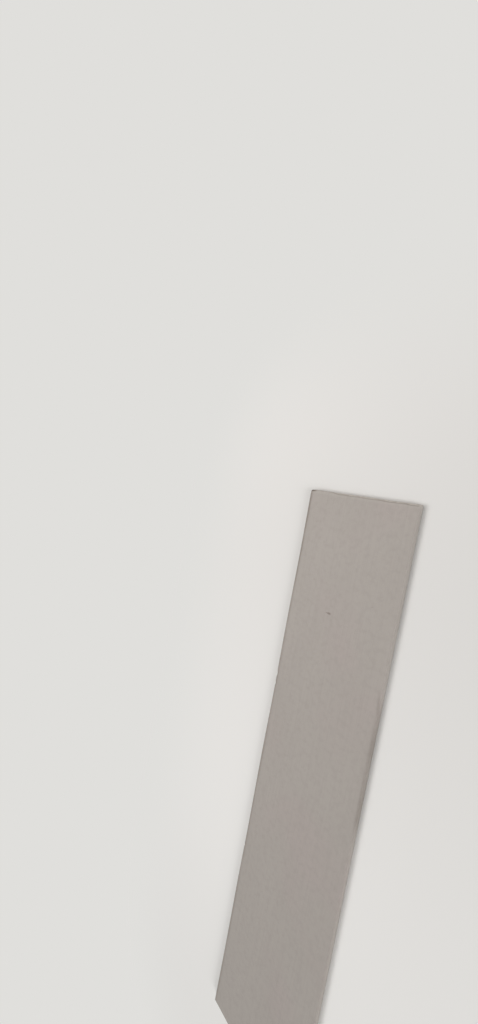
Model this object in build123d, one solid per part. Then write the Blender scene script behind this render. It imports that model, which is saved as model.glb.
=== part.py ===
from build123d import *
import math
import os

# A strip cut from a sheet of gypsum wallboard, stored lying flat with its ivory
# face up. The origin is at the middle of the back, +X is across the strip to the
# sheet's own paper-bound edge, and +Y is along it to the end that stood uppermost.

# Strip, over everything
sheet_length = 1485.0
sheet_width = 305.0
sheet_thickness = 12.5

# Long edge at +X, where the face paper is folded round the core
bound_face_radius = 1.6
bound_back_radius = 1.0

# Cuts scored with a knife and snapped: the knife goes this deep, the core breaks
# away nearly level below it, then turns down, and stands furthest out at the crest
score_depth = 0.9
ledge_depth = 2.3
ledge_share = 0.12
back_cut_depth = 0.6
crest_height = 5.0
back_recess = 0.5

# A hand-led cut drifts slowly and wavers by this share of the drift, this many
# radians for each slow wave
waver_share = 0.25
waver_rate = 5.0

# Long cut at -X: how far the core stands past the face paper, how far the cut
# drifts, and how far apart the sections through it are
side_lip = 0.7
side_drift = 1.2
side_wave = 371.25
side_station = 62.0

# Top end at +Y: the break runs out past the score, except near the cut side
top_lip = 4.0
top_lip_near_cut_side = 0.6
top_lip_start = 64.0
top_lip_full = 92.0
top_lip_waver = 0.08
top_lip_wave = 57.0
top_drift = 0.4
top_wave = 152.5
top_station = 15.25

# Foot end at -Y
foot_lip = 0.8
foot_drift = 0.5
foot_wave = 101.0
foot_station = 25.5

# Small dent in the face, where something knocked it
nick_width = 6.0
nick_depth = 0.8
nick_from_cut_side = 129.0
nick_from_top_end = 298.0

# Two places where the long cut's face corner is crushed
long_crush_length = 23.0
long_crush_reach = 5.5
long_crush_depth = 1.5
long_crush_from_top_end = 511.0
short_crush_length = 12.0
short_crush_reach = 5.0
short_crush_depth = 1.3
short_crush_from_top_end = 538.0

# Chip off the face corner where the long cut meets the top end
chip_length = 15.0
chip_reach = 4.0
chip_depth = 5.5

# The waste cut away is this much larger than the strip all round
overcut = 4.0


def drift_at(along, amount, wave):
    """How far in from the outermost line a hand-led cut lies at a place along it."""
    slow = math.sin(math.pi * along / wave) ** 2
    quick = 1.0 - waver_share + waver_share * math.sin(waver_rate * along / wave)
    return amount * slow * quick


def top_lip_at(along):
    """How far the core stands past the face paper at the top end, from +X to -X."""
    from_cut_side = sheet_width - along
    share = (from_cut_side - top_lip_start) / (top_lip_full - top_lip_start)
    share = min(max(share, 0.0), 1.0)
    eased = share * share * (3.0 - 2.0 * share)
    ragged = 1.0 + top_lip_waver * math.sin(2 * math.pi * along / top_lip_wave)
    return (top_lip_near_cut_side + (top_lip - top_lip_near_cut_side) * eased) * ragged


def snapped_waste(run, station, drift, wave, lip_at):
    """The waste beyond one snapped cut, along local X, with the strip towards +Y."""
    spans = math.ceil(run / station)
    sections = []
    for step in range(spans + 1):
        along = -overcut + (run + 2 * overcut) * step / spans
        crest = drift_at(along, drift, wave)
        face = crest + lip_at(along)
        back = crest + back_recess
        ledge = crest + ledge_share * lip_at(along)
        corners = [
            (-overcut, -overcut),
            (back, -overcut),
            (back, back_cut_depth),
            (crest, crest_height),
            (ledge, sheet_thickness - ledge_depth),
            (face, sheet_thickness - score_depth),
            (face, sheet_thickness + overcut),
            (-overcut, sheet_thickness + overcut),
        ]
        upright = Plane(origin=(along, 0, 0), x_dir=(0, 1, 0), z_dir=(1, 0, 0))
        sections.append(upright * Polygon(*corners, align=None))
    return loft(sections)


def bound_blank():
    """The strip before its cuts, with the paper-bound edge rounded at +X."""
    section = Rectangle(sheet_width, sheet_thickness, align=(Align.CENTER, Align.MIN))
    bound_side = section.vertices().group_by(Axis.X)[-1].sort_by(Axis.Y)
    section = fillet(bound_side[0], bound_back_radius)
    bound_side = section.vertices().group_by(Axis.X)[-1].sort_by(Axis.Y)
    section = fillet(bound_side[-1], bound_face_radius)
    return extrude(Plane.XZ * section, sheet_length / 2, both=True)


def face_nick():
    """A ball that leaves a shallow round dent where it meets the face."""
    half = nick_width / 2
    radius = (half**2 + nick_depth**2) / (2 * nick_depth)
    centre = (
        -sheet_width / 2 + nick_from_cut_side,
        sheet_length / 2 - nick_from_top_end,
        sheet_thickness - nick_depth + radius,
    )
    return Pos(*centre) * Sphere(radius)


def crushed_corner(length, reach, depth, from_top_end):
    """A long shallow hollow that leaves the long cut's face corner crushed."""
    middle = Pos(-sheet_width / 2, sheet_length / 2 - from_top_end, sheet_thickness)
    return middle * scale(Sphere(1), by=(reach, length / 2, depth))


def corner_chip():
    """The wedge of face and core lost at the top end's corner on the cut side."""
    left = -sheet_width / 2
    top = sheet_length / 2
    corners = [
        (left - overcut, top + overcut),
        (left - overcut, top - chip_reach),
        (left, top - chip_reach),
        (left + chip_length, top),
        (left + chip_length, top + overcut),
    ]
    wedge = Polygon(*corners, align=None)
    return extrude(Pos(0, 0, sheet_thickness - chip_depth) * wedge, chip_depth + overcut)


def drywall_sheet():
    """The whole strip, one piece of stock."""
    left = -sheet_width / 2
    right = sheet_width / 2
    top = sheet_length / 2
    foot = -sheet_length / 2
    side_frame = Plane(origin=(left, top, 0), x_dir=(0, -1, 0), z_dir=(0, 0, 1))
    top_frame = Plane(origin=(right, top, 0), x_dir=(-1, 0, 0), z_dir=(0, 0, 1))
    foot_frame = Plane(origin=(left, foot, 0), x_dir=(1, 0, 0), z_dir=(0, 0, 1))
    side_waste = snapped_waste(
        sheet_length, side_station, side_drift, side_wave, lambda along: side_lip
    )
    top_waste = snapped_waste(sheet_width, top_station, top_drift, top_wave, top_lip_at)
    foot_waste = snapped_waste(
        sheet_width, foot_station, foot_drift, foot_wave, lambda along: foot_lip
    )
    board = bound_blank()
    board -= side_frame * side_waste
    board -= top_frame * top_waste
    board -= foot_frame * foot_waste
    board -= face_nick()
    board -= crushed_corner(
        long_crush_length, long_crush_reach, long_crush_depth, long_crush_from_top_end
    )
    board -= crushed_corner(
        short_crush_length, short_crush_reach, short_crush_depth, short_crush_from_top_end
    )
    board -= corner_chip()
    return board


os.makedirs("parts", exist_ok=True)
export_step(drywall_sheet(), "parts/drywall_sheet.step")
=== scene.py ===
import bmesh
import bpy
import functools
import math
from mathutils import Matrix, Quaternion, Vector, noise


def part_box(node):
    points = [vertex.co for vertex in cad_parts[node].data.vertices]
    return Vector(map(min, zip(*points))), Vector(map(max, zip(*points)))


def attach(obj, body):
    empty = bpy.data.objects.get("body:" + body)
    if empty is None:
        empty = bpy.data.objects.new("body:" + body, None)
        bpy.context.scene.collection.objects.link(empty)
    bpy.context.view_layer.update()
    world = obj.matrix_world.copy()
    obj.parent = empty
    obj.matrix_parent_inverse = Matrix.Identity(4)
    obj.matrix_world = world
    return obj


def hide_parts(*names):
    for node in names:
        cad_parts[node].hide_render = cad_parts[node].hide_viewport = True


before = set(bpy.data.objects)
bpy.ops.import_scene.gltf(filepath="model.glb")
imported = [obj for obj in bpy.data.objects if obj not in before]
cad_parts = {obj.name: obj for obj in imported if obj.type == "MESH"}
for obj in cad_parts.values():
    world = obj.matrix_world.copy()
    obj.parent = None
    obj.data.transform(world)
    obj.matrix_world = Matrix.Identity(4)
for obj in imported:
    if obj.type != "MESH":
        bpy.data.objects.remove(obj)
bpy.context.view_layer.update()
strip_low, strip_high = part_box("drywall_sheet")

# Camera. It stands to the strip as it stood in the photograph, where the strip
# leaned on its foot. The strip lies down here, so the camera is above it, close
# to the top end, and turned on its side to put that end at the top of the frame.
camera_place = Vector((0.5790, 0.7031, 0.8420))
camera_aim = Vector((-0.4528, 0.6346, 0.0))
camera_turn = math.radians(-82.16)
camera_lens = 14.275
camera_sensor = 36.0
camera_nearest = 0.001

camera_data = bpy.data.cameras.new("camera")
camera_data.sensor_width = camera_sensor
camera_data.lens = camera_lens
camera_data.clip_start = camera_nearest
camera = bpy.data.objects.new("camera", camera_data)
bpy.context.collection.objects.link(camera)
camera.location = camera_place
camera.rotation_mode = "QUATERNION"
aimed = (camera_aim - camera_place).to_track_quat("-Z", "Y")
camera.rotation_quaternion = aimed @ Quaternion((0, 0, 1), camera_turn)
bpy.context.scene.camera = camera
bpy.context.scene.view_settings.view_transform = "Standard"

# Light. A soft key sun from the side of the long cut, a low fill from the other
# side, a broad, faintly warm lamp near the top end, and an even sky. The camera
# sees the sky as one pale tone, which the floor takes on too, away from the strip.
key_from = Vector((-1.0, -0.45, 1.05))
key_strength = 1.0
fill_from = Vector((1.0, -0.2, 0.36))
fill_strength = 1.6
sun_spread = math.radians(26.0)
lamp_place = Vector((-0.8, 1.2, 1.7))
lamp_aim = Vector((-0.1, 0.6, 0.0))
lamp_width = 1.4
lamp_power = 15.0
lamp_warmth = (1.0, 0.94, 0.92)
sky_strength = 0.37


def hang_light(name, kind, place, aim):
    """A lamp that stands at a place and shines at an aim."""
    light = bpy.data.lights.new(name, kind)
    holder = bpy.data.objects.new(name, light)
    bpy.context.collection.objects.link(holder)
    holder.location = place
    holder.rotation_mode = "QUATERNION"
    holder.rotation_quaternion = (aim - place).to_track_quat("-Z", "Y")
    return light


for name, direction, strength in (
    ("key_sun", key_from, key_strength),
    ("fill_sun", fill_from, fill_strength),
):
    sun = hang_light(name, "SUN", direction, Vector((0.0, 0.0, 0.0)))
    sun.energy = strength
    sun.angle = sun_spread
lamp = hang_light("broad_lamp", "AREA", lamp_place, lamp_aim)
lamp.size = lamp_width
lamp.energy = lamp_power
lamp.color = lamp_warmth


def colour(red, green, blue):
    """A colour as a screen shows it, 0 to 255, in the shader's own numbers."""
    parts = []
    for part in (red, green, blue):
        share = part / 255.0
        parts.append(share / 12.92 if share <= 0.04045 else ((share + 0.055) / 1.055) ** 2.4)
    return (*parts, 1.0)


def ray_that_shows(nodes, links):
    """1 where the camera, a reflection or a clear material looks, and 0 for light."""
    ray = nodes.new("ShaderNodeLightPath")
    shows = ray.outputs["Is Camera Ray"]
    for kind in ("Is Glossy Ray", "Is Transmission Ray"):
        either = nodes.new("ShaderNodeMath")
        either.operation = "MAXIMUM"
        links.new(shows, either.inputs[0])
        links.new(ray.outputs[kind], either.inputs[1])
        shows = either.outputs["Value"]
    return shows


seen_colour = colour(224, 223, 220)
sky = bpy.data.worlds.new("sky")
sky.use_nodes = True
bpy.context.scene.world = sky
sky_nodes = sky.node_tree.nodes
sky_links = sky.node_tree.links
sky_light = sky_nodes["Background"]
sky_light.inputs["Color"].default_value = (1.0, 1.0, 1.0, 1.0)
sky_light.inputs["Strength"].default_value = sky_strength
sky_picture = sky_nodes.new("ShaderNodeBackground")
sky_picture.inputs["Color"].default_value = seen_colour
sky_picture.inputs["Strength"].default_value = 1.0
sky_choice = sky_nodes.new("ShaderNodeMixShader")
sky_links.new(ray_that_shows(sky_nodes, sky_links), sky_choice.inputs["Fac"])
sky_links.new(sky_light.outputs["Background"], sky_choice.inputs[1])
sky_links.new(sky_picture.outputs["Background"], sky_choice.inputs[2])
sky_links.new(sky_choice.outputs["Shader"], sky_nodes["World Output"].inputs["Surface"])

# Floor. A plain pale level floor, wide enough to fill the frame, that keeps the
# strip's soft shadow. It is paler towards the foot, where less of the lamp's light
# falls, and a little way from the strip the camera sees one even tone.
floor_size = 80.0
floor_drop = 0.0001
floor_roughness = 0.9
floor_top_colour = colour(216, 215, 212)
floor_foot_colour = colour(233, 232, 229)
floor_foot = -0.45
floor_top = 0.75
even_start = 0.06
even_full = 0.6

# A mix of colours keeps its sockets at these numbers
mix_under = 6
mix_over = 7
mix_result = 2

floor_mesh = bpy.data.meshes.new("floor")
floor_build = bmesh.new()
bmesh.ops.create_grid(floor_build, x_segments=1, y_segments=1, size=floor_size / 2)
bmesh.ops.translate(floor_build, vec=(0, 0, -floor_drop), verts=floor_build.verts)
floor_build.to_mesh(floor_mesh)
floor_build.free()
floor = bpy.data.objects.new("floor", floor_mesh)
bpy.context.collection.objects.link(floor)
floor_finish = bpy.data.materials.new("pale_floor")
floor_finish.use_nodes = True
floor_nodes = floor_finish.node_tree.nodes
floor_links = floor_finish.node_tree.links
floor_shader = floor_nodes["Principled BSDF"]
floor_shader.inputs["Roughness"].default_value = floor_roughness
floor_place = floor_nodes.new("ShaderNodeTexCoord")
floor_split = floor_nodes.new("ShaderNodeSeparateXYZ")
floor_links.new(floor_place.outputs["Object"], floor_split.inputs["Vector"])
floor_along = floor_nodes.new("ShaderNodeMapRange")
floor_along.interpolation_type = "SMOOTHSTEP"
floor_along.inputs["From Min"].default_value = floor_foot
floor_along.inputs["From Max"].default_value = floor_top
floor_links.new(floor_split.outputs["Y"], floor_along.inputs["Value"])
floor_mix = floor_nodes.new("ShaderNodeMix")
floor_mix.data_type = "RGBA"
floor_links.new(floor_along.outputs["Result"], floor_mix.inputs["Factor"])
floor_mix.inputs[mix_under].default_value = floor_foot_colour
floor_mix.inputs[mix_over].default_value = floor_top_colour
floor_links.new(floor_mix.outputs[mix_result], floor_shader.inputs["Base Color"])
even_tone = floor_nodes.new("ShaderNodeEmission")
even_tone.inputs["Color"].default_value = seen_colour
floor_away = floor_place.outputs["Object"]
away_steps = (
    ("ABSOLUTE", None),
    ("SUBTRACT", strip_high),
    ("MAXIMUM", (0, 0, 0)),
    ("LENGTH", None),
)
for step, amount in away_steps:
    floor_step = floor_nodes.new("ShaderNodeVectorMath")
    floor_step.operation = step
    floor_links.new(floor_away, floor_step.inputs[0])
    if amount is not None:
        floor_step.inputs[1].default_value = amount
    floor_away = floor_step.outputs["Value" if step == "LENGTH" else "Vector"]
floor_far = floor_nodes.new("ShaderNodeMapRange")
floor_far.interpolation_type = "SMOOTHSTEP"
floor_far.inputs["From Min"].default_value = even_start
floor_far.inputs["From Max"].default_value = even_full
floor_links.new(floor_away, floor_far.inputs["Value"])
floor_seen = floor_nodes.new("ShaderNodeMath")
floor_seen.operation = "MULTIPLY"
floor_links.new(floor_far.outputs["Result"], floor_seen.inputs[0])
floor_links.new(ray_that_shows(floor_nodes, floor_links), floor_seen.inputs[1])
floor_choice = floor_nodes.new("ShaderNodeMixShader")
floor_links.new(floor_seen.outputs["Value"], floor_choice.inputs["Fac"])
floor_links.new(floor_shader.outputs["BSDF"], floor_choice.inputs[1])
floor_links.new(even_tone.outputs["Emission"], floor_choice.inputs[2])
floor_links.new(floor_choice.outputs["Shader"], floor_nodes["Material Output"].inputs["Surface"])
floor_mesh.materials.append(floor_finish)

# Strip of wallboard, its two faces. The sheet is gypsum cast between two papers,
# and this strip was cut from it. Sizes are millimetres from the middle of the
# back. Each broad face is a grid that steps finer along the cuts.
millimetre = 0.001
half_width = (strip_high.x - strip_low.x) / 2 / millimetre
half_length = (strip_high.y - strip_low.y) / 2 / millimetre
thickness = (strip_high.z - strip_low.z) / millimetre
field_margin = 10.0
field_half_width = half_width - field_margin
field_half_length = half_length - field_margin
field_columns = 12
field_rows = 62
fine_cuts = 23
plain_cuts = 5
touch = 0.001
face_paper_slot = 0
core_slot = 1
back_paper_slot = 2


def flat_field(build, height, slot):
    """One broad face, its rim finely stepped along the cuts and less along the bound edge."""
    made = bmesh.ops.create_grid(build, x_segments=field_columns, y_segments=field_rows, size=1.0)
    field = made["verts"]
    for part in {part for vert in field for part in vert.link_faces}:
        part.material_index = slot
    bmesh.ops.scale(build, vec=(field_half_width, field_half_length, 1.0), verts=field)
    bmesh.ops.translate(build, vec=(0, 0, height), verts=field)
    cell = 2 * field_half_length / field_rows
    plain = []
    fine = []
    for edge in {edge for vert in field for edge in vert.link_edges if edge.is_boundary}:
        bound_side = all(vert.co.x > field_half_width - touch for vert in edge.verts)
        end_cell = any(abs(vert.co.y) > field_half_length - cell / 2 for vert in edge.verts)
        (plain if bound_side and not end_cell else fine).append(edge)
    bmesh.ops.subdivide_edges(build, edges=fine, cuts=fine_cuts)
    bmesh.ops.subdivide_edges(build, edges=plain, cuts=plain_cuts)


# Strip, the bound edge at +X. It is the sheet's own long edge: the face paper is
# folded round the core and on to the back, so its corners are small rounds.
bound_face_radius = 1.6
bound_back_radius = 1.0
bound_wall_rows = 13
bound_face_steps = (7.5, 4.5, 2.8)
bound_face_turns = (0.0, 22.5, 45.0, 67.5, 90.0)
bound_back_turns = (0.0, 30.0, 60.0, 90.0)
bound_back_steps = (1.4, 2.0, 3.5)


def bound_section():
    """The bound edge from the face round to the back, as steps of inset and height."""
    section = [(inset, thickness) for inset in (field_margin, *bound_face_steps)]
    for turn in bound_face_turns:
        angle = math.radians(turn)
        inset = bound_face_radius * (1 - math.sin(angle))
        section.append((inset, thickness - bound_face_radius * (1 - math.cos(angle))))
    wall_top = thickness - bound_face_radius
    for row in range(1, bound_wall_rows + 1):
        share = row / (bound_wall_rows + 1)
        section.append((0.0, wall_top + (bound_back_radius - wall_top) * share))
    for turn in bound_back_turns:
        angle = math.radians(turn)
        inset = bound_back_radius * (1 - math.cos(angle))
        section.append((inset, bound_back_radius * (1 - math.sin(angle))))
    section += [(inset, 0.0) for inset in (*bound_back_steps, field_margin)]
    return section


# Strip, the three cut edges. The face paper is scored with a knife, the core is
# snapped there and breaks rough, with a ledge below the score and its crest below
# the middle, and the back paper is slit. A few chips are gone from the corners.
paper = 0.38
score_depth = 0.9
back_cut_height = 0.6
back_recess = 0.5
crest_height = 5.0
least_inset = 0.02

# Steps down the face paper's edge, as inset and drop, and where the score is cut
cut_face_step = 7.5
paper_steps = ((2.4, 0.0), (1.2, 0.0), (0.5, 0.03), (0.0, 0.12))
paper_undercut = 0.05
score_inset = 0.12

# Rows of the ledge, as the share of the lip and the drop, and rows of the core
ledge_rows = ((0.84, 1.3), (0.64, 1.4), (0.42, 1.6), (0.2, 1.95), (0.08, 2.5))
ledge_spread = 4.0
ledge_wear = 0.3
ledge_lip = 0.5
core_rows = 12
core_below_ledge = 0.75
core_above_slit = 0.35
loose_at_rim = 0.5
loose_each_row = 0.25

# Steps round the slit back paper, as inset and height, and then on the back
slit_steps = ((0.0, paper + 0.05), (-0.05, 0.04), (0.3, 0.0))
cut_back_step = 3.5

# How each cut runs, and the chips as run, reach and depth
waver_share = 0.25
waver_rate = 5.0
side_lip = 0.7
side_drift = 1.2
side_wave = 371.25
top_lip = 4.0
top_lip_near_cut_side = 0.6
top_lip_start = 64.0
top_lip_full = 92.0
top_lip_waver = 0.08
top_lip_wave = 57.0
top_drift = 0.4
top_wave = 152.5
foot_lip = 0.8
foot_drift = 0.5
foot_wave = 101.0
side_chips = ((511.0, 9.0, 1.0), (538.0, 5.0, 1.0), (1010.0, 5.0, 1.2))
top_chips = ((2 * half_width, 15.0, 4.0),)
chip_height = 6.5

# Roughness, as how deep it is and how large its grain is
broad_wear = 0.25
broad_swing = 0.45
broad_size = 14.0
lump_depth = 0.95
lump_size = 3.8
grain_depth = 0.5
grain_size = 1.4
pit_depth = 2.4
pit_size = 6.5
pit_level = 0.2
pit_shift = Vector((31.0, 7.0, 3.0))
fine_fray = 0.12
fine_fray_size = 2.2
long_fray = 0.2
long_fray_size = 9.0
row_jitter = 0.3
row_jitter_size = 2.5
row_jitter_shift = Vector((5.0, 0.0, 0.0))
slit_fray = 0.15
slit_fray_size = 3.0


def eased(share):
    """0 to 1 with a soft start and stop, held at both ends."""
    share = min(max(share, 0.0), 1.0)
    return share * share * (3.0 - 2.0 * share)


def drift_at(run, amount, wave):
    """How far in from the outermost line a hand-led cut lies at a place along it."""
    slow = math.sin(math.pi * run / wave) ** 2
    quick = 1.0 - waver_share + waver_share * math.sin(waver_rate * run / wave)
    return amount * slow * quick


def top_lip_at(run):
    """How far the core stands past the face paper at the top end, from +X to -X."""
    from_cut_side = 2 * half_width - run
    share = (from_cut_side - top_lip_start) / (top_lip_full - top_lip_start)
    ragged = 1.0 + top_lip_waver * math.sin(2 * math.pi * run / top_lip_wave)
    return (top_lip_near_cut_side + (top_lip - top_lip_near_cut_side) * eased(share)) * ragged


def chipped(run, chips):
    """How much of the upper corner is broken away at a place along a cut."""
    return sum(depth * eased(1 - abs(run - middle) / reach) for middle, reach, depth in chips)


def crumbled(place):
    """How far the broken core has lost its grains at a place, always inwards."""
    broad = broad_wear + broad_swing * noise.noise(place / broad_size)
    lumps = lump_depth * abs(noise.noise(place / lump_size))
    grains = grain_depth * abs(noise.noise(place / grain_size))
    pits = pit_depth * max(0.0, noise.noise(place / pit_size + pit_shift) - pit_level)
    return max(0.0, broad) + lumps + grains + pits


def cut_section(crest, lip, chip, place):
    """A cut edge from the face round to the back, as steps of inset, height and hollow."""
    frayed = fine_fray * noise.noise(place / fine_fray_size)
    frayed += long_fray * noise.noise(place / long_fray_size)
    edge = crest + lip + chip + frayed
    section = [(field_margin, thickness), (cut_face_step, thickness)]
    section += [(edge + inset, thickness - drop) for inset, drop in paper_steps]
    section.append((edge + paper_undercut, thickness - paper_steps[-1][1] - paper))
    section.append((edge + score_inset, thickness - score_depth))
    for share, drop in ledge_rows:
        worn = crumbled(place + Vector((0.0, 0.0, ledge_spread * share)))
        fallen = chip * eased((thickness - drop - chip_height) / (thickness - chip_height))
        inset = crest + lip * share + fallen + ledge_wear * (1 - share) * worn
        height = thickness - drop - ledge_wear * worn * eased(lip - ledge_lip)
        section.append((max(inset, least_inset), height, worn))
    top_row = thickness - ledge_rows[-1][1] - core_below_ledge
    low_row = back_cut_height + core_above_slit
    for row in range(core_rows):
        height = top_row + (low_row - top_row) * row / (core_rows - 1)
        base = chip * eased((height - chip_height) / (thickness - chip_height))
        base += back_recess * eased((crest_height - height) / (crest_height - back_cut_height))
        loose = min(1.0, loose_at_rim + loose_each_row * min(row, core_rows - 1 - row))
        spot = place + Vector((0.0, 0.0, height))
        worn = crumbled(spot)
        inset = crest + base + loose * worn
        height += row_jitter * noise.noise(spot / row_jitter_size + row_jitter_shift)
        section.append((max(inset, least_inset), height, worn))
    slit = crest + back_recess + slit_fray * noise.noise(place / slit_fray_size)
    section += [(slit + inset, height) for inset, height in slit_steps]
    section += [(cut_back_step, 0.0), (field_margin, 0.0)]
    return [step if len(step) == 3 else (*step, 0.0) for step in section]


@functools.lru_cache(maxsize=None)
def long_cut(run):
    """The long cut's section at a run from the top end."""
    place = Vector((-half_width, half_length - run, 0.0))
    crest = drift_at(run, side_drift, side_wave)
    return cut_section(crest, side_lip, chipped(run, side_chips), place)


@functools.lru_cache(maxsize=None)
def top_cut(run):
    """The top end's section at a run from the bound edge."""
    place = Vector((half_width - run, half_length, 0.0))
    crest = drift_at(run, top_drift, top_wave)
    return cut_section(crest, top_lip_at(run), chipped(run, top_chips), place)


@functools.lru_cache(maxsize=None)
def foot_cut(run):
    """The foot end's section at a run from the long cut."""
    place = Vector((run - half_width, -half_length, 0.0))
    crest = drift_at(run, foot_drift, foot_wave)
    return cut_section(crest, foot_lip, 0.0, place)


# Strip, the mesh. The face is laid down first, its rim is drawn out in rings that
# go round the edges, and the back closes them.
corner_blend = 6.0
run_digits = 3
last_face_ring = 5
first_back_ring = 27
# Knife dirt and painted shade of the paper's step at the score, by ring
rub_and_shade_rings = {3: 0.1, 4: 0.3, 5: 0.5, 6: 0.6, 7: 0.8, 8: 0.5, 9: 0.1}

board = bmesh.new()
rub_and_shade = board.verts.layers.float.new("rub_and_shade")
hollow = board.verts.layers.float.new("hollow")
flat_field(board, thickness, face_paper_slot)
rim = [edge for edge in board.edges if edge.is_boundary]
columns = {vert.co.copy().freeze(): [vert] for edge in rim for vert in edge.verts}
bound = bound_section()
for ring in range(1, len(bound)):
    made = bmesh.ops.extrude_edge_only(board, edges=rim)["geom"]
    rim = [part for part in made if isinstance(part, bmesh.types.BMEdge) and part.is_boundary]
    for vert in {vert for edge in rim for vert in edge.verts}:
        columns[vert.co.copy().freeze()].append(vert)
    for part in (part for part in made if isinstance(part, bmesh.types.BMFace)):
        on_bound = all(vert.co.x > field_half_width - touch for vert in part.verts)
        if ring <= last_face_ring or on_bound:
            part.material_index = face_paper_slot
        else:
            part.material_index = core_slot if ring < first_back_ring else back_paper_slot

for start, column in columns.items():
    across = start.x / field_half_width
    along = start.y / field_half_length
    from_bound = half_width * (1 - across)
    left = long_cut(round(half_length * (1 - along), run_digits))
    top = top_cut(round(from_bound, run_digits))
    foot = foot_cut(round(half_width * (1 + across), run_digits))
    end = top if along > 0 else foot
    cut = end if abs(along) > 1 - touch else left
    boundness = eased(1 - from_bound / corner_blend)
    for ring, vert in enumerate(column):
        low_x = left[ring][0] - half_width
        high_x = half_width - bound[ring][0]
        low_y = foot[ring][0] - half_length
        high_y = half_length - top[ring][0]
        vert.co.x = low_x + (high_x - low_x) * (across + 1) / 2
        vert.co.y = low_y + (high_y - low_y) * (along + 1) / 2
        vert.co.z = cut[ring][1] + (bound[ring][1] - cut[ring][1]) * boundness
        vert[rub_and_shade] = rub_and_shade_rings.get(ring, 0.0) * (1 - boundness)
        vert[hollow] = cut[ring][2] * (1 - boundness)

flat_field(board, 0.0, back_paper_slot)
bmesh.ops.remove_doubles(board, verts=board.verts, dist=touch)
bmesh.ops.recalc_face_normals(board, faces=board.faces)

# Strip, the back. The folded face paper reaches a little way on to it, and the
# brown back paper is glued over the fold, so its own edge stands a step lower.
lap_width = 14.0
lap_step = 0.3
lap_slope = 0.25

low_faces = [face for face in board.faces if all(vert.co.z < touch for vert in face.verts)]
low_parts = {part for face in low_faces for part in (face, *face.edges, *face.verts)}
for inset in (lap_width, lap_width - lap_slope):
    cut = bmesh.ops.bisect_plane(
        board,
        geom=list(low_parts),
        dist=touch / 10,
        plane_co=(half_width - inset, 0, 0),
        plane_no=(1, 0, 0),
    )
    low_parts = set(cut["geom"])
for vert in board.verts:
    if vert.co.x > half_width - lap_width + lap_slope / 2 and vert.co.z < lap_step:
        vert.co.z = lap_step
for part in board.faces:
    if part.material_index == back_paper_slot:
        if part.calc_center_median().x > half_width - lap_width + lap_slope:
            part.material_index = face_paper_slot

# Strip, the knocks. Something dented the face and dragged a little to the left
# of the dent, and the long cut's corner was bumped twice near the middle. Each
# bump is a place across and along, a reach across and along, and a depth.
nick = Vector((-23.5, 444.5, thickness))
nick_radius = 3.0
nick_depth = 0.8
nick_cuts = 31
nick_fine_reach = 20.0
drag_length = 7.0
drag_radius = 1.1
drag_depth = 0.3
bumps = ((-152.5, 231.5, 5.8, 11.5, 1.6), (-152.5, 204.5, 5.2, 6.0, 1.4))
bump_reach_down = 5.0
bump_steepness = 1.2

near_nick = []
for part in board.faces:
    if (part.calc_center_median() - nick).length < nick_fine_reach:
        near_nick.append(part)
near_edges = {edge for part in near_nick for edge in part.edges}
bmesh.ops.subdivide_edges(board, edges=list(near_edges), cuts=nick_cuts, use_grid_fill=True)
for vert in board.verts:
    if vert.co.z > thickness - touch:
        off = vert.co - nick
        round_dent = nick_depth * max(0.0, 1 - (math.hypot(off.x, off.y) / nick_radius) ** 2)
        on_drag = eased(1 - abs(off.x + drag_length / 2) / drag_length)
        drag = drag_depth * on_drag * max(0.0, 1 - (off.y / drag_radius) ** 2)
        vert.co.z -= max(round_dent, drag)
    pressed = eased((vert.co.z - thickness + bump_reach_down) / bump_reach_down)
    for middle_x, middle_y, reach_x, reach_y, depth in bumps:
        away = math.hypot((vert.co.x - middle_x) / reach_x, (vert.co.y - middle_y) / reach_y)
        vert.co.z -= pressed * depth * eased(bump_steepness * (1 - away))

# Strip, its finished mesh. Its points and facets are numbered by place, so that
# they come in the same order each run, and it goes from millimetres to metres.
sharp_angle = math.radians(38.0)


def number_by_place(parts, place):
    """Put a mesh's points or facets in the order of their places."""
    for number, part in enumerate(sorted(parts, key=place)):
        part.index = number
    parts.sort()


bmesh.ops.triangulate(board, faces=[face for face in board.faces if len(face.verts) > 4])
bmesh.ops.recalc_face_normals(board, faces=board.faces)
number_by_place(board.verts, lambda vert: tuple(vert.co))
number_by_place(board.faces, lambda facet: tuple(facet.calc_center_median()))
bmesh.ops.scale(board, vec=(millimetre, millimetre, millimetre), verts=board.verts)
board_mesh = bpy.data.meshes.new("wallboard_strip")
board.to_mesh(board_mesh)
board.free()
board_mesh.shade_smooth()
board_mesh.set_sharp_from_angle(angle=sharp_angle)
strip = bpy.data.objects.new("wallboard_strip", board_mesh)
bpy.context.collection.objects.link(strip)


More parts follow.
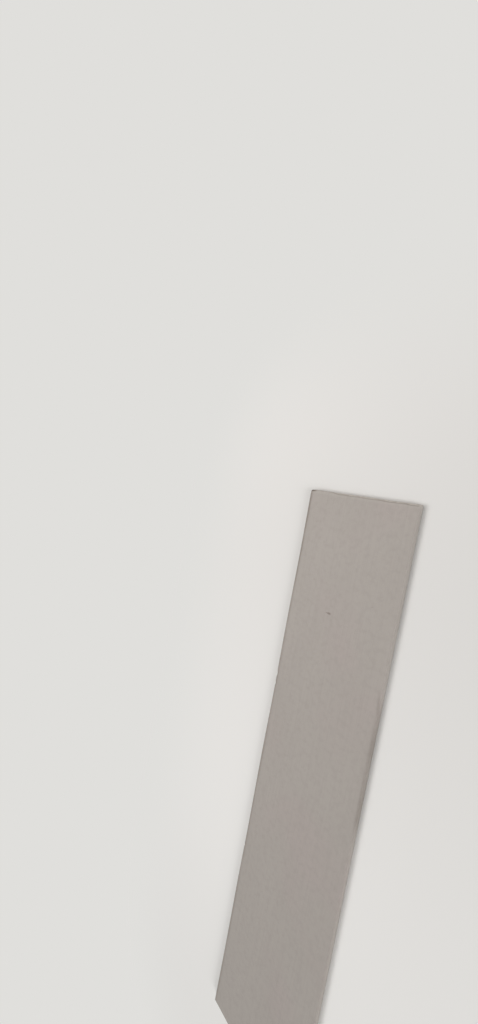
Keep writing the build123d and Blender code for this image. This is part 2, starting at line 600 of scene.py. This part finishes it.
class Finish:
    """A surface being mixed from noise, fades by place and layers of colour."""

    def __init__(self, name):
        self.material = bpy.data.materials.new(name)
        self.material.use_nodes = True
        self.nodes = self.material.node_tree.nodes
        self.links = self.material.node_tree.links
        self.shader = self.nodes["Principled BSDF"]
        self.place = self.nodes.new("ShaderNodeTexCoord").outputs["Object"]
        split = self.nodes.new("ShaderNodeSeparateXYZ")
        self.links.new(self.place, split.inputs["Vector"])
        self.x = split.outputs["X"]
        self.y = split.outputs["Y"]
        self.z = split.outputs["Z"]

    def put(self, value, socket):
        """Link an output to a socket, or set the socket to a plain number."""
        if isinstance(value, bpy.types.NodeSocket):
            self.links.new(value, socket)
        else:
            socket.default_value = value

    def grain(self, size, detail=2.0, stretch=(1.0, 1.0, 1.0), rough=0.5):
        """Noise with grains of about a size in millimetres, drawn out by stretch."""
        mapping = self.nodes.new("ShaderNodeMapping")
        mapping.inputs["Scale"].default_value = [1 / (size * millimetre * part) for part in stretch]
        self.links.new(self.place, mapping.inputs["Vector"])
        texture = self.nodes.new("ShaderNodeTexNoise")
        texture.inputs["Scale"].default_value = 1.0
        texture.inputs["Detail"].default_value = detail
        texture.inputs["Roughness"].default_value = rough
        self.links.new(mapping.outputs["Vector"], texture.inputs["Vector"])
        return texture.outputs["Fac"]

    def painted(self, name):
        """A value that the mesh carries on its points."""
        carried = self.nodes.new("ShaderNodeAttribute")
        carried.attribute_name = name
        return carried.outputs["Fac"]

    def fade(self, value, start, stop, low=0.0, high=1.0):
        """From low to high, softly, as a value goes from start to stop."""
        ramp = self.nodes.new("ShaderNodeMapRange")
        ramp.interpolation_type = "SMOOTHSTEP"
        self.put(value, ramp.inputs["Value"])
        ramp.inputs["From Min"].default_value = start
        ramp.inputs["From Max"].default_value = stop
        ramp.inputs["To Min"].default_value = low
        ramp.inputs["To Max"].default_value = high
        return ramp.outputs["Result"]

    def reckon(self, kind, first, second):
        """Two values put together by one operation, such as ADD or MAXIMUM."""
        step = self.nodes.new("ShaderNodeMath")
        step.operation = kind
        self.put(first, step.inputs[0])
        self.put(second, step.inputs[1])
        return step.outputs["Value"]

    def times(self, *values):
        """The product of several values."""
        product = values[0]
        for value in values[1:]:
            product = self.reckon("MULTIPLY", product, value)
        return product

    def band(self, value, low, high, soft):
        """1 between two places and 0 outside them, with soft ends. In millimetres."""
        rise = self.fade(value, (low - soft) * millimetre, (low + soft) * millimetre)
        fall = self.fade(value, (high - soft) * millimetre, (high + soft) * millimetre, 1.0, 0.0)
        return self.times(rise, fall)

    def spot(self, place, inner, outer, squeeze=(1.0, 1.0)):
        """1 near a place and 0 beyond outer, in millimetres, with the plane squeezed."""
        across = self.times(self.reckon("SUBTRACT", self.x, place[0] * millimetre), squeeze[0])
        along = self.times(self.reckon("SUBTRACT", self.y, place[1] * millimetre), squeeze[1])
        square = self.reckon("ADD", self.times(across, across), self.times(along, along))
        away = self.reckon("POWER", square, 0.5)
        return self.fade(away, inner * millimetre, outer * millimetre, 1.0, 0.0)

    def layer(self, under, over, amount):
        """A colour laid over another by an amount."""
        mix = self.nodes.new("ShaderNodeMix")
        mix.data_type = "RGBA"
        self.put(amount, mix.inputs["Factor"])
        self.put(under, mix.inputs[mix_under])
        self.put(over, mix.inputs[mix_over])
        return mix.outputs[mix_result]

    def strewn(self, under, over, grains, start, stop, most):
        """A colour laid over another where a noise runs from start to stop, up to most."""
        return self.layer(under, over, self.fade(grains, start, stop, 0.0, most))

    def relief(self, height, depth, strength=1.0):
        """Fine relief, as deep as depth in millimetres."""
        bump = self.nodes.new("ShaderNodeBump")
        bump.inputs["Strength"].default_value = strength
        bump.inputs["Distance"].default_value = depth * millimetre
        self.links.new(height, bump.inputs["Height"])
        self.links.new(bump.outputs["Normal"], self.shader.inputs["Normal"])


# Face paper. Ivory board of recycled fibre, warm grey in the photograph, with the
# streaks of the paper machine along the sheet, clouds, flecks of darker fibre, a
# darker band along the bound edge, dust at the top end, knife dirt with painted
# shade along the cuts, darker marks at the dent, and painted shade in the bumps.
ivory = colour(167, 161, 155)
ivory_dark = colour(157, 151, 145)
ivory_pink = colour(169, 159, 155)
fibre_dark = colour(118, 106, 94)
fibre_pale = colour(196, 190, 182)
edge_band_colour = colour(121, 113, 106)
scuff_and_shade = colour(104, 94, 85)
dust = colour(190, 187, 178)

face = Finish("ivory_face_paper")
clouds = face.grain(150.0, 2.0, (1.0, 1.8, 1.0))
shade = face.strewn(ivory, ivory_dark, clouds, 0.3, 0.8, 0.35)
tint = face.grain(260.0, 2.0)
shade = face.strewn(shade, ivory_pink, tint, 0.45, 0.7, 0.6)
mottle = face.grain(14.0, 4.0)
shade = face.strewn(shade, ivory_dark, mottle, 0.42, 0.72, 0.45)
streaks = face.grain(2.4, 2.0, (1.0, 70.0, 1.0))
shade = face.strewn(shade, ivory_dark, streaks, 0.4, 0.75, 0.35)
felt = face.grain(0.8, 3.0)
shade = face.strewn(shade, fibre_dark, felt, 0.5, 0.8, 0.22)
dark_flecks = face.grain(1.1, 1.0, (1.0, 3.2, 1.0))
shade = face.strewn(shade, fibre_dark, dark_flecks, 0.74, 0.8, 0.5)
pale_flecks = face.grain(1.3, 1.0, (2.6, 1.0, 1.0))
shade = face.strewn(shade, fibre_pale, pale_flecks, 0.73, 0.8, 0.4)

# Along the cuts: painted shade on the long cut's rim, from the edge inwards and
# stronger towards the top end, knife dirt with painted shade at the score, dust
# beside the top end, and dirt with painted shade at the chipped top corner
beyond_edge = 20.0
rim_width = 7.5
rim_soft = 3.5
rim_calm_to = 300.0
rim_darkest_from = 720.0
dust_width = 9.0
dust_soft = 3.0
dust_amount = 0.12
corner_shade_place = (-half_width + 7.0, half_length - 2.5)

long_patches = face.grain(26.0, 4.0, (0.5, 2.2, 1.0))
near_long_cut = face.band(face.x, -half_width - beyond_edge, -half_width + rim_width, rim_soft)
calm_y = rim_calm_to * millimetre
darkest_y = rim_darkest_from * millimetre
rim_growth = face.fade(face.y, calm_y, darkest_y, 0.8, 1.5)
rim_shade = face.times(face.fade(long_patches, 0.3, 0.6, 0.16, 0.34), rim_growth)
# Painted shade on the long cut's rim
shade = face.layer(shade, scuff_and_shade, face.times(near_long_cut, rim_shade))
# Knife dirt and painted shade at the score, on the face paper's edge
knife_dirt_and_shade = face.times(face.painted("rub_and_shade"), face.fade(mottle, 0.3, 0.6, 0.55, 0.9))
shade = face.layer(shade, scuff_and_shade, knife_dirt_and_shade)
near_top = face.band(face.y, half_length - dust_width, half_length + beyond_edge, dust_soft)
shade = face.layer(shade, dust, face.times(near_top, dust_amount))
# Dirt and painted shade at the chipped top corner, beside the long cut
corner_dirt_and_shade = face.spot(corner_shade_place, 4.0, 13.0, (0.9, 3.2))
shade = face.layer(shade, scuff_and_shade, face.times(corner_dirt_and_shade, face.fade(mottle, 0.3, 0.6, 0.45, 0.85)))

# Darker along the bound edge, from its corner inwards, and in a slanted band past it
edge_band_low = 15.0
edge_band_high = 255.0
edge_band_soft = 45.0
edge_band_width = 10.0
edge_band_full_past = 1.0
edge_band_amount = 0.5
slant_band_low = 262.0
slant_band_high = 325.0
slant_band_soft = 22.0
slant_band_slope = 0.11
slant_band_near = 26.0
slant_band_far = 32.5
slant_band_edge = 3.0

edge_band_run = face.band(face.y, edge_band_low, edge_band_high, edge_band_soft)
edge_band_start = (half_width - edge_band_width) * millimetre
edge_band_full = (half_width + edge_band_full_past) * millimetre
edge_band_reach = face.fade(face.x, edge_band_start, edge_band_full)
edge_band_mark = face.times(edge_band_reach, edge_band_run, face.fade(long_patches, 0.3, 0.6, 0.65, 1.0))
shade = face.layer(shade, edge_band_colour, face.times(edge_band_mark, edge_band_amount))
slanted = face.reckon("ADD", face.x, face.times(face.y, slant_band_slope))
slant_band_run = face.band(face.y, slant_band_low, slant_band_high, slant_band_soft)
slant_band_side = face.band(slanted, half_width + slant_band_near, half_width + slant_band_far, slant_band_edge)
slant_band_mark = face.times(slant_band_side, slant_band_run)
shade = face.layer(shade, edge_band_colour, face.times(slant_band_mark, face.fade(long_patches, 0.3, 0.6, 0.1, 0.3)))

# Darker at the dent and along its drag, and painted shade in the bumps on the long cut's corner
nick_dark_place = (nick.x + 2.0, nick.y + 0.2)
drag_dark_place = (nick.x - drag_length / 2 - 1.5, nick.y)
bump_shade_core = 0.35

torn = face.grain(1.1, 4.0, (1.0, 1.0, 1.0), 0.6)
nick_dark = face.spot(nick_dark_place, 1.2, 6.0, (0.75, 1.5))
shade = face.layer(shade, scuff_and_shade, face.times(nick_dark, face.fade(torn, 0.4, 0.58, 0.25, 0.9)))
drag_dark = face.spot(drag_dark_place, 1.0, 6.0, (1.0, 2.4))
shade = face.layer(shade, scuff_and_shade, face.times(drag_dark, face.fade(torn, 0.42, 0.6, 0.1, 0.6)))
for middle_x, middle_y, reach_x, reach_y, depth in bumps:
    squeeze = (reach_y / reach_x, 1.0)
    # Painted shade in each bump
    bump_shade = face.spot((middle_x, middle_y), reach_y * bump_shade_core, reach_y, squeeze)
    shade = face.layer(shade, scuff_and_shade, face.times(bump_shade, face.fade(mottle, 0.25, 0.5, 0.5, 0.9)))

face.links.new(shade, face.shader.inputs["Base Color"])
face.links.new(face.fade(felt, 0.3, 0.8, 0.84, 0.95), face.shader.inputs["Roughness"])
face.shader.inputs["Specular IOR Level"].default_value = 0.25
roughed = face.times(torn, face.reckon("MAXIMUM", nick_dark, drag_dark), 6.0)
paper_relief = face.reckon("ADD", felt, face.times(mottle, 1.5))
face.relief(face.reckon("ADD", paper_relief, roughed), 0.12, 0.5)
board_mesh.materials.append(face.material)

# Core. Cast gypsum, foamed so that the broken face is gritty and full of small
# bubbles, pale warm grey, with painted shade in its hollows and a painted highlight
# on its high points. The knife's rubbing dirties it at the score, with painted shade
# there too, the chipped corner has dirt and painted shade, and the cut edges of both
# papers show as thin brown lines.
gypsum = colour(196, 190, 182)
gypsum_dull = colour(184, 178, 170)
gypsum_highlight = colour(214, 209, 202)
gypsum_shade_and_grit = colour(150, 143, 135)
gypsum_pore = colour(128, 121, 113)
ply_edge = colour(118, 103, 88)
dirt_and_shade = colour(92, 84, 75)
core_dirt_and_shade = 0.7
core_corner_shade_place = (-half_width + 7.0, half_length - 1.5)
core_corner_shade_foot = 5.0
core_corner_shade_full = 8.0
face_ply_foot = 0.56
face_ply_full = 0.46
back_ply_full = -0.02
back_ply_top = 0.06

core = Finish("gypsum_core")
lumps = core.grain(7.0, 4.0)
shade = core.layer(gypsum, gypsum_dull, core.fade(lumps, 0.35, 0.65))
hollowed = core.painted("hollow")
# Painted highlight on the core's high points and painted shade in its hollows, by how deep the
# grains fell out
shade = core.layer(shade, gypsum_highlight, core.fade(hollowed, 0.1, 0.5, 0.5, 0.0))
shade = core.strewn(shade, gypsum_shade_and_grit, hollowed, 0.5, 1.5, 0.4)
# Grit darkens the core at random, with the same colour
grit = core.grain(1.8, 5.0, (1.0, 1.0, 1.0), 0.65)
shade = core.strewn(shade, gypsum_shade_and_grit, grit, 0.5, 0.68, 0.5)
bubbles = core.grain(0.7, 2.0)
shade = core.strewn(shade, gypsum_pore, bubbles, 0.56, 0.72, 0.55)
# Knife dirt and painted shade at the score, on the core's ledge
shade = core.layer(shade, dirt_and_shade, core.times(core.painted("rub_and_shade"), core_dirt_and_shade))
# Dirt and painted shade on the upper part of the chipped corner's core
corner_dirt_and_shade = core.spot(core_corner_shade_place, 6.0, 14.0, (0.9, 2.4))
upper = core.fade(core.z, core_corner_shade_foot * millimetre, core_corner_shade_full * millimetre)
shade = core.layer(shade, dirt_and_shade, core.times(corner_dirt_and_shade, upper, core.fade(lumps, 0.3, 0.6, 0.6, 0.9)))
ply_start = (thickness - face_ply_foot) * millimetre
ply_full = (thickness - face_ply_full) * millimetre
shade = core.layer(shade, ply_edge, core.fade(core.z, ply_start, ply_full))
ply_full = (paper + back_ply_full) * millimetre
ply_end = (paper + back_ply_top) * millimetre
shade = core.layer(shade, ply_edge, core.fade(core.z, ply_full, ply_end, 1.0, 0.0))
core.links.new(shade, core.shader.inputs["Base Color"])
core.shader.inputs["Roughness"].default_value = 0.95
core.shader.inputs["Specular IOR Level"].default_value = 0.2
core.relief(core.reckon("ADD", bubbles, core.times(grit, 2.0)), 0.5, 0.9)
board_mesh.materials.append(core.material)

# Back paper. Plain grey brown recycled liner, rougher and darker than the face,
# with faint machine streaks, and flecks of darker and paler fibre.
brown = colour(147, 126, 106)
brown_dark = colour(134, 114, 95)
brown_pale = colour(172, 154, 134)
brown_fleck = colour(96, 80, 66)

back = Finish("brown_back_paper")
clouds = back.grain(90.0, 3.0)
shade = back.strewn(brown, brown_dark, clouds, 0.35, 0.7, 0.35)
mottle = back.grain(11.0, 4.0)
shade = back.strewn(shade, brown_dark, mottle, 0.42, 0.72, 0.5)
streaks = back.grain(2.4, 2.0, (1.0, 40.0, 1.0))
shade = back.strewn(shade, brown_dark, streaks, 0.4, 0.75, 0.22)
felt = back.grain(0.9, 3.0)
shade = back.strewn(shade, brown_fleck, felt, 0.5, 0.8, 0.35)
pale_flecks = back.grain(1.4, 1.0, (1.0, 3.0, 1.0))
shade = back.strewn(shade, brown_pale, pale_flecks, 0.68, 0.76, 0.6)
dark_flecks = back.grain(1.2, 1.0, (2.8, 1.0, 1.0))
shade = back.strewn(shade, brown_fleck, dark_flecks, 0.7, 0.78, 0.6)
back.links.new(shade, back.shader.inputs["Base Color"])
back.links.new(back.fade(felt, 0.3, 0.8, 0.86, 0.96), back.shader.inputs["Roughness"])
back.shader.inputs["Specular IOR Level"].default_value = 0.2
back.relief(felt, 0.15, 0.5)
board_mesh.materials.append(back.material)

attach(strip, "root")
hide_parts("drywall_sheet")
